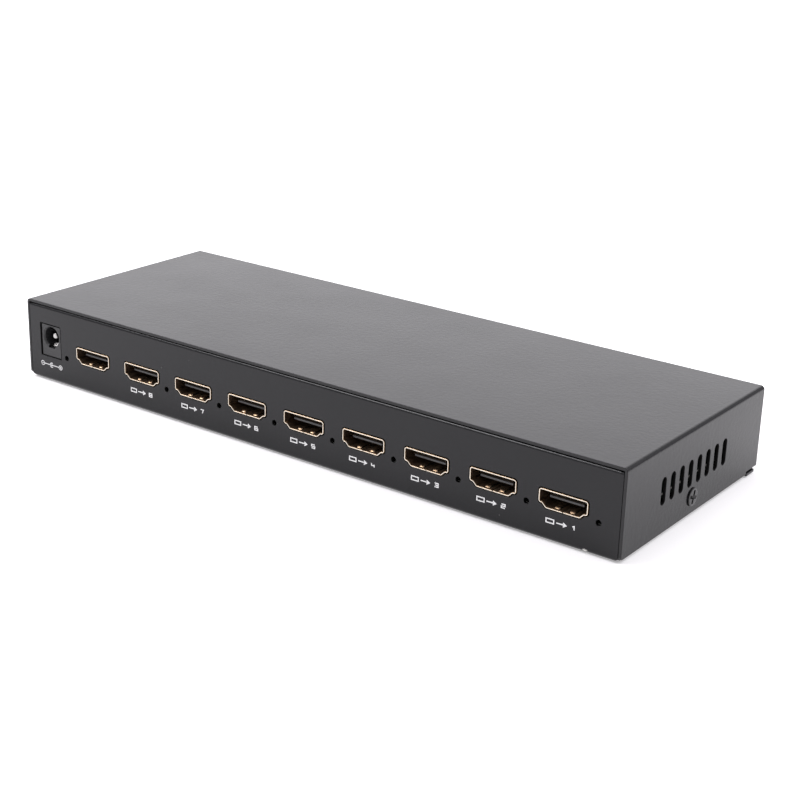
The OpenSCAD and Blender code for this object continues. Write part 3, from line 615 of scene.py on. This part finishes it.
def build_shell(port):
    p = socket_profile()
    r = 0.1
    v0, v1 = Y0 - RIM_PROUD, Y0 + SHELL_L - RIM_PROUD
    U = p.u
    st = p.stations[1:-1]
    cut = 4.5
    pts = [(0, v0, 0.15)] + [(u, v0, 0) for u in st] + [(U, v0, 0.15), (U, Y0 + 9, 0.2), (U - cut, Y0 + 9, 0.3), (U - cut, v1, 0.2)]
    pts += [(u, v1, 0) for u in reversed(st) if cut + 0.3 < u < U - cut - 0.3] + [(cut, v1, 0.2), (cut, Y0 + 9, 0.3), (0, Y0 + 9, 0.2)]
    outline = rounded([q[:2] for q in pts], [q[2] for q in pts], 4)
    steps = [1.15, 1.3, 1.45, 1.6, 1.75, 1.9, 2.05, 2.25, 2.55, 3.0, 3.6, 4.4, 5.2, 6.2]
    holes, lines, mids = [], [], [FINGER_X - 0.08, U - (FINGER_X - 0.08)]
    for c in mids:
        a, b, va, vb, vc = 0.97, 0.73, Y0 + 0.7, Y0 + FINGER_A, Y0 + FINGER_B
        u_cut = [(c - a, va, 0.2), (c + a, va, 0.2), (c + a, vc, 0.08), (c + b, vc, 0.08)]
        u_cut += [(c + b, Y0 + s, 0) for s in reversed(steps)] + [(c + b, vb, 0.18), (c - b, vb, 0.18)]
        u_cut += [(c - b, Y0 + s, 0) for s in steps] + [(c - b, vc, 0.08), (c - a, vc, 0.08)]
        holes.append(rounded([q[:2] for q in u_cut], [q[2] for q in u_cut], 3))
        lines += [((c - b + 0.09, Y0 + s), (c + b - 0.09, Y0 + s)) for s in steps]
        lines += [((c + x, vb + 0.08), (c + x, Y0 + 6.0)) for x in (-0.48, -0.24, 0.0, 0.24, 0.48)]

    def disp(u, v):
        s = v - Y0
        if not (FINGER_A - 0.1 < s < FINGER_B and min(abs(u - m) for m in mids) < 0.85):
            return 0.0, 0.0, 0.0
        m = min(mids, key=lambda c: abs(u - c))
        k = 0.04 * ((u - m) / 0.73) ** 2
        dk = 0.08 * (u - m) / 0.73 ** 2
        if s > CREST:
            q = (s - CREST) / (FINGER_B - CREST)
            g = (1 - q) ** 2 * (1 + 2 * q)
            return (0.3 - k) * g, -dk * g, (0.3 - k) * (-6 * q * (1 - q)) / (FINGER_B - CREST)
        q = (CREST - s) / 0.8
        return 0.3 - k - 0.42 * q * q, -dk, 0.84 * q / 0.8

    def kind(part, u, v):
        # painted shade: the inner faces take the darkened gold, except a narrow strip on each finger's crest and the
        # mouth up to 0.1 mm behind the panel's front
        on_finger = CREST - 0.8 < v - Y0 < CREST + 0.8 and min(abs(u - m) for m in mids) < 0.26
        if part == "low" and not on_finger and v - Y0 > 0.1:
            return 1
        # cut rim edges take the pale gold as a painted highlight, faces take the darker gold
        return 2 if part in ("top", "low") else 0
    lines += bend_lines(p, v0 + r, v1 - r)
    cx = PORT_X[port]
    shell = bent_plate(p, outline, holes, SHELL_T, r, ((cx, 0, SHELL_Z), (1, 0, 0), (0, 0, 1), (0, 1, 0)), lines=lines, disp=disp, r_hole=0.06, kind=kind)
    # solder legs
    legs = []
    for s in (-1, 1):
        for y in (3.2, 8.2):
            q = Profile((0.0, 0.0), 0, -1)
            q.line(1.6)
            z0 = BOARD_Z - 2.2
            legs.append(bent_plate(q, rounded([(0.3, z0), (1.3, z0), (1.6, z0 + 0.6), (1.6, SHELL_Z + 2.0), (0, SHELL_Z + 2.0), (0, z0 + 0.6)], 0.12),
                                   [], 0.31, 0.08, ((cx + s * (SHELL_W / 2 - 0.175) + 0.155, Y0 + y, 0), (0, 1, 0), (-1, 0, 0), (0, 0, 1))))
    return make_object("socket_%s_rim" % port, *shell, [GOLD, SHADED_GOLD, DEEP_GOLD]), make_object("socket_%s_legs" % port, *join(legs), [GOLD])


# ------------------------------------------------------------------ screws, feet
def lathe(bm, prof, n, matrix):
    rings = []
    for r, z in prof:
        if r < 1e-9:
            rings.append([bm.verts.new(matrix @ Vector((0, 0, z * MM)))])
        else:
            rings.append([bm.verts.new(matrix @ Vector((r * MM * math.cos(2 * math.pi * k / n), r * MM * math.sin(2 * math.pi * k / n), z * MM))) for k in range(n)])
    for a, b in zip(rings, rings[1:]):
        for k in range(n):
            j = (k + 1) % n
            if len(a) == 1:
                bm.faces.new((a[0], b[j], b[k]))
            elif len(b) == 1:
                bm.faces.new((a[k], a[j], b[0]))
            else:
                bm.faces.new((a[k], a[j], b[j], b[k]))


def cross_cutter(matrix, top_z, depth):
    """Tapered cross, blunt at the bottom."""
    bm = bmesh.new()
    hi, lo = (2.0, 0.46), (0.80, 0.36)
    def ring(l, w, z):
        return [bm.verts.new(matrix @ Vector((x * MM, y * MM, z * MM))) for x, y in (
            (l, -w), (l, w), (w, w), (w, l), (-w, l), (-w, w), (-l, w), (-l, -w), (-w, -w), (-w, -l), (w, -l), (w, -w))]
    g = (top_z + 0.6 - (top_z - depth)) / depth
    a = ring(lo[0] + (hi[0] - lo[0]) * g, lo[1] + (hi[1] - lo[1]) * g, top_z + 0.6)
    b = ring(*lo, top_z - depth)
    n = len(a)
    for k in range(n):
        bm.faces.new((a[k], b[k], b[(k + 1) % n], a[(k + 1) % n]))
    bm.faces.new(list(reversed(a)))
    bm.faces.new(b)
    return bm


def build_screws():
    d, h = 5.2, 0.485
    R = d / 2
    prof = [(0, -4.6), (1.15, -4.6), (1.45, -4.3), (1.45, 0), (R - 0.10, 0), (R - 0.03, 0.03), (R, 0.08), (R, 0.275)]
    for k in range(1, 9):
        a = math.radians(90 * k / 8)
        prof.append((R - 0.6 + 0.6 * math.cos(a), 0.275 + 0.185 * math.sin(a)))
    prof += [(0.7, h - 0.005), (0, h)]
    head, cut = bmesh.new(), bmesh.new()
    for s in (-1, 1):
        m = Matrix.Translation((s * HW * MM, SCREW_Y * MM, SCREW_Z * MM)) @ Matrix.Rotation(s * math.pi / 2, 4, "Y") @ Matrix.Rotation(math.radians(-17), 4, "Z")
        lathe(head, prof, 72, m)
        c = cross_cutter(m, h, 0.85)
        tmp = bpy.data.meshes.new("tmp")
        c.to_mesh(tmp)
        c.free()
        cut.from_mesh(tmp)
        bpy.data.meshes.remove(tmp)
    a = object_from_bmesh("screw_blank", head, SCREW)
    b = object_from_bmesh("screw_cut", cut, SCREW)
    mod = a.modifiers.new("recess", "BOOLEAN")
    mod.operation, mod.solver, mod.object = "DIFFERENCE", "EXACT", b
    me = bpy.data.meshes.new_from_object(a.evaluated_get(bpy.context.evaluated_depsgraph_get()))
    for o in (a, b):
        old = o.data
        bpy.data.objects.remove(o)
        bpy.data.meshes.remove(old)
    me.name = "side_screws"
    me.materials.clear()
    me.materials.append(SCREW)
    me.materials.append(SCREW_PAINTED_SHADE)
    # the heads' sides, recess walls and hidden shanks take the darker copy as painted shade
    for f in me.polygons:
        f.material_index = 1 if abs(f.normal.x) < 0.75 or abs(f.center.x) < (HW + 0.3) * MM else 0
    me.polygons.foreach_set("use_smooth", [True] * len(me.polygons))
    me.set_sharp_from_angle(angle=math.radians(30))
    ob = bpy.data.objects.new("side_screws", me)
    bpy.context.scene.collection.objects.link(ob)
    return ob


def build_feet():
    lo, hi = mm_box("rubber_feet")
    R, H = 4.0, hi[2]
    prof = [(0, H), (R - 0.04, H), (R, H - 0.05), (R - 0.2, 0.3)]
    for k in range(1, 6):
        a = math.radians(90 * k / 5)
        prof.append((R - 0.5 + 0.3 * math.cos(a), 0.3 - 0.3 * math.sin(a)))
    prof += [(2.0, 0.0), (1.8, 0.10), (0, 0.12)]
    bm = bmesh.new()
    for x in (lo[0] + R, hi[0] - R):
        for y in (lo[1] + R, hi[1] - R):
            lathe(bm, prof, 56, Matrix.Translation((x * MM, y * MM, 0)))
    return object_from_bmesh("stick_on_feet", bm, RUBBER)


# ------------------------------------------------------------------ printed marks
def stroke(pts, w, closed=False):
    """Pieces of one drawn line, with mitred corners."""
    P = [np.array(p, float) for p in pts]
    n = len(P)
    offs = []
    for i in range(n):
        dirs = []
        if closed or i > 0:
            dirs.append(P[i] - P[i - 1])
        if closed or i < n - 1:
            dirs.append(P[(i + 1) % n] - P[i])
        ns = [np.array((-d[1], d[0])) / np.linalg.norm(d) for d in dirs]
        m = ns[0] if len(ns) == 1 else (ns[0] + ns[1]) / (1 + float(np.dot(ns[0], ns[1])))
        offs.append(m * w / 2)
    quads = []
    for i in range(n if closed else n - 1):
        j = (i + 1) % n
        quads.append([P[i] - offs[i], P[j] - offs[j], P[j] + offs[j], P[i] + offs[i]])
    return quads


GLYPH = {  # plain numerals on a grid one wide and one and a half high
    1: [[(0.1, 1.15), (0.55, 1.5), (0.55, 0)]],
    2: [[(0, 1.5), (1, 1.5), (1, 0.75), (0, 0.75), (0, 0), (1, 0)]],
    3: [[(0, 1.5), (1, 1.5), (1, 0), (0, 0)], [(0.15, 0.75), (1, 0.75)]],
    4: [[(0, 1.5), (0, 0.6), (1, 0.6)], [(0.8, 1.1), (0.8, 0)]],
    5: [[(1, 1.5), (0, 1.5), (0, 0.75), (1, 0.75), (1, 0), (0, 0)]],
    6: [[(1, 1.5), (0, 1.5), (0, 0), (1, 0), (1, 0.75), (0, 0.75)]],
    7: [[(0, 1.5), (1, 1.5), (0.55, 0)]],
    8: [[(0, 0), (1, 0), (1, 1.5), (0, 1.5), (0, 0)], [(0, 0.75), (1, 0.75)]]}


def build_marks():
    quads = []

    def draw(lines, x, z, sx, sz, w):
        for line in lines:
            closed = line[0] == line[-1]
            pts = [(x + a * sx, z + b * sz) for a, b in (line[:-1] if closed else line)]
            quads.extend(stroke(pts, w, closed))
    w, z0, hgt = 0.34, ZB + 4.96, 1.42
    for k in range(1, 9):
        x, z, s = PORT_X["out%d" % k], z0 + w / 2, (hgt - w) / 1.5
        # a screen and an arrow that points out of it, then the number
        draw([[(0, 0), (2.3, 0), (2.3, 1.5), (0, 1.5), (0, 0)]], x - 4.9 + w / 2, z, 1.0, s, w)
        draw([[(0, 0.75), (2.75, 0.75)], [(2.0, 1.55), (2.9, 0.75), (2.0, -0.05)]], x - 1.65, z, 1.0, s, w)
        draw(GLYPH[k], x + 2.85 + w / 2, z, 1.5 - w, s, w * 0.94)
    # polarity mark of the power jack: sleeve minus, pin plus
    c, zc = JACK_X - 0.05, ZB + 5.33
    ring = lambda cx, r, a0, a1, n: [(cx + r * math.cos(math.radians(a0 + (a1 - a0) * i / n)), zc + r * math.sin(math.radians(a0 + (a1 - a0) * i / n))) for i in range(n + 1)]
    for cx in (c - 4.1, c + 4.1):
        quads += stroke(ring(cx, 0.70, 0, 360, 24)[:-1], 0.22, True)
        quads += stroke([(cx - 0.36, zc), (cx + 0.36, zc)], 0.22)
    quads += stroke([(c + 4.1, zc - 0.36), (c + 4.1, zc + 0.36)], 0.22)
    quads += stroke([(c - 3.3, zc), (c - 0.72, zc)], 0.26) + stroke([(c + 0.0, zc), (c + 3.3, zc)], 0.26)
    quads += stroke(ring(c, 0.72, 50, 310, 18), 0.26)
    quads += stroke(ring(c, 0.16, 0, 360, 10)[:-1], 0.30, True)
    verts, faces = [], []
    for q in quads:
        if area2([tuple(p) for p in q]) < 0:
            q = q[::-1]
        faces.append(list(range(len(verts), len(verts) + 4)))
        verts += [Vector((p[0], p[1])) for p in q]
    cv, _, cf, _, _, of_ = delaunay_2d_cdt(verts, [], faces, 1, 1e-5)
    tris = []
    for f, o in zip(cf, of_):
        if not o:
            continue
        a, b, d = (cv[i] for i in f[:3])
        ar = (b[0] - a[0]) * (d[1] - a[1]) - (d[0] - a[0]) * (b[1] - a[1])
        if abs(ar) > 1e-9:
            tris.append(tuple(f) if ar > 0 else tuple(reversed(f)))
    used = sorted({i for f in tris for i in f})
    idx = {j: k for k, j in enumerate(used)}
    n = len(used)
    V = [(cv[j][0] * MM, (Y0 - 0.025) * MM, cv[j][1] * MM) for j in used] + [(cv[j][0] * MM, (Y0 + 0.04) * MM, cv[j][1] * MM) for j in used]
    F = [tuple(idx[i] for i in f) for f in tris] + [tuple(idx[i] + n for i in reversed(f)) for f in tris]
    directed = {(f[i], f[(i + 1) % len(f)]) for f in tris for i in range(len(f))}
    for a, b in directed:
        if (b, a) not in directed:
            F.append((idx[b], idx[a], idx[a] + n, idx[b] + n))
    me = bpy.data.meshes.new("port_marks")
    me.from_pydata(V, [], F)
    me.validate()
    me.materials.append(INK)
    ob = bpy.data.objects.new("port_marks", me)
    bpy.context.scene.collection.objects.link(ob)
    return ob


# ------------------------------------------------------------------ put together
def place(piece, slot_name, *nodes):
    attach(piece, "case")
    if nodes:
        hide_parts(*nodes)


place(build_cover(), "case_paint", "top_cover")
tray, tabs = build_tray()
place(tray, "case_paint", "chassis_tray", "port_panel_left", "port_panel_middle", "port_panel_right")
place(tabs, "case_paint")
place(build_screws(), "screw_black", "cover_screws")
place(build_feet(), "foot_rubber", "rubber_feet")
place(build_marks(), "case_paint")
for port in PORTS:
    rim, legs = build_shell(port)
    place(rim, "socket_gold", "socket_%s_shell" % port)
    place(legs, "socket_gold")

# soft edges on the moulded jack
for node, width in (("jack_body", 0.2),):
    ob = NODES[node]
    weld = ob.modifiers.new("weld", "WELD")
    weld.merge_threshold = 1e-6
    flat = ob.modifiers.new("flat", "DECIMATE")
    flat.decimate_type, flat.angle_limit = "DISSOLVE", math.radians(1.0)
    bev = ob.modifiers.new("edges", "BEVEL")
    bev.width, bev.segments, bev.limit_method, bev.angle_limit = width * MM, 3, "ANGLE", math.radians(40)
    bev.harden_normals = True

# ------------------------------------------------------------------ stage: floor, light, camera
floor_me = bpy.data.meshes.new("floor")
floor_me.from_pydata([(-3, -3, 0), (3, -3, 0), (3, 3, 0), (-3, 3, 0)], [], [(0, 1, 2, 3)])
floor = bpy.data.objects.new("floor", floor_me)
bpy.context.scene.collection.objects.link(floor)
fm = Nodes("floor_white")
fm.set(Base_Color=fm.mix(fm.noise(3, 2), rgb(0.76, 0.755, 0.76), rgb(0.78, 0.775, 0.78)), Roughness=0.9, Specular_IOR_Level=0.1,
       Emission_Color=rgb(1.0, 0.99, 1.0), Emission_Strength=0.30)
floor_me.materials.append(fm.mat)

scene = bpy.context.scene
scene.view_settings.view_transform = "Standard"
scene.view_settings.look = "None"
world = bpy.data.worlds.new("studio")
scene.world = world
world.use_nodes = True
world.node_tree.nodes["Background"].inputs[0].default_value = rgb(0.98, 0.968, 1.0)
world.node_tree.nodes["Background"].inputs[1].default_value = 0.65


def softbox(name, place, aim, size, radiance):
    """Rectangular soft light of a given brightness, unseen by the camera."""
    lamp = bpy.data.lights.new(name, "AREA")
    lamp.shape, lamp.size, lamp.size_y = "RECTANGLE", size[0], size[1]
    lamp.energy = radiance * math.pi * size[0] * size[1]
    lamp.color = (0.985, 0.968, 1.0)
    ob = bpy.data.objects.new(name, lamp)
    scene.collection.objects.link(ob)
    ob.location = place
    ob.rotation_euler = (Vector(aim) - Vector(place)).to_track_quat("-Z", "Y").to_euler()
    ob.visible_camera = False


def towards(azimuth, elevation, distance):
    """Point at an angle from +Y (left is negative) and a height angle."""
    a, e = math.radians(azimuth), math.radians(elevation)
    return (distance * math.sin(a) * math.cos(e), distance * math.cos(a) * math.cos(e), distance * math.sin(e))


softbox("key_back_left", towards(-27, 22, 3.0), (0, 0, 0), (3.05, 1.7), 1.03)
softbox("key_overhead", (-0.34, 0.05, 1.0), (0, 0, 0), (1.0, 1.0), 1.6)
softbox("fill_right", (0.72, 0.46, 0.85), (0, 0, 0), (0.6, 0.6), 7.0)
softbox("front_left", (-0.75, -0.54, 0.91), (0, 0, 0), (0.95, 0.34), 10.5)

# camera: focal length in pixels of an 800-pixel frame, direction in degrees, offsets in mm
F_PX, AZ, EL, ROLL, TX, TY, DIST = 1603.682, 35.988, 20.3, 1.664, -8.830, -5.868, 493.49
a, e, q = (math.radians(v) for v in (AZ, EL, ROLL))
back = Vector((math.sin(a) * math.cos(e), -math.cos(a) * math.cos(e), math.sin(e)))
right = Vector((math.cos(a), math.sin(a), 0))
up = back.cross(right)
right, up = right * math.cos(q) + up * math.sin(q), up * math.cos(q) - right * math.sin(q)
pos = (-TX) * right + (-TY) * up + DIST * back + Vector((0, (Y0 + Y1) / 2, ZB))
cam_data = bpy.data.cameras.new("camera")
cam_data.sensor_width, cam_data.lens = 36.0, F_PX / 800 * 36.0
cam_data.clip_start, cam_data.clip_end = 0.01, 50.0
cam = bpy.data.objects.new("camera", cam_data)
scene.collection.objects.link(cam)
cam.matrix_world = Matrix(((right.x, up.x, back.x, pos.x * MM), (right.y, up.y, back.y, pos.y * MM), (right.z, up.z, back.z, pos.z * MM), (0, 0, 0, 1)))
scene.camera = cam
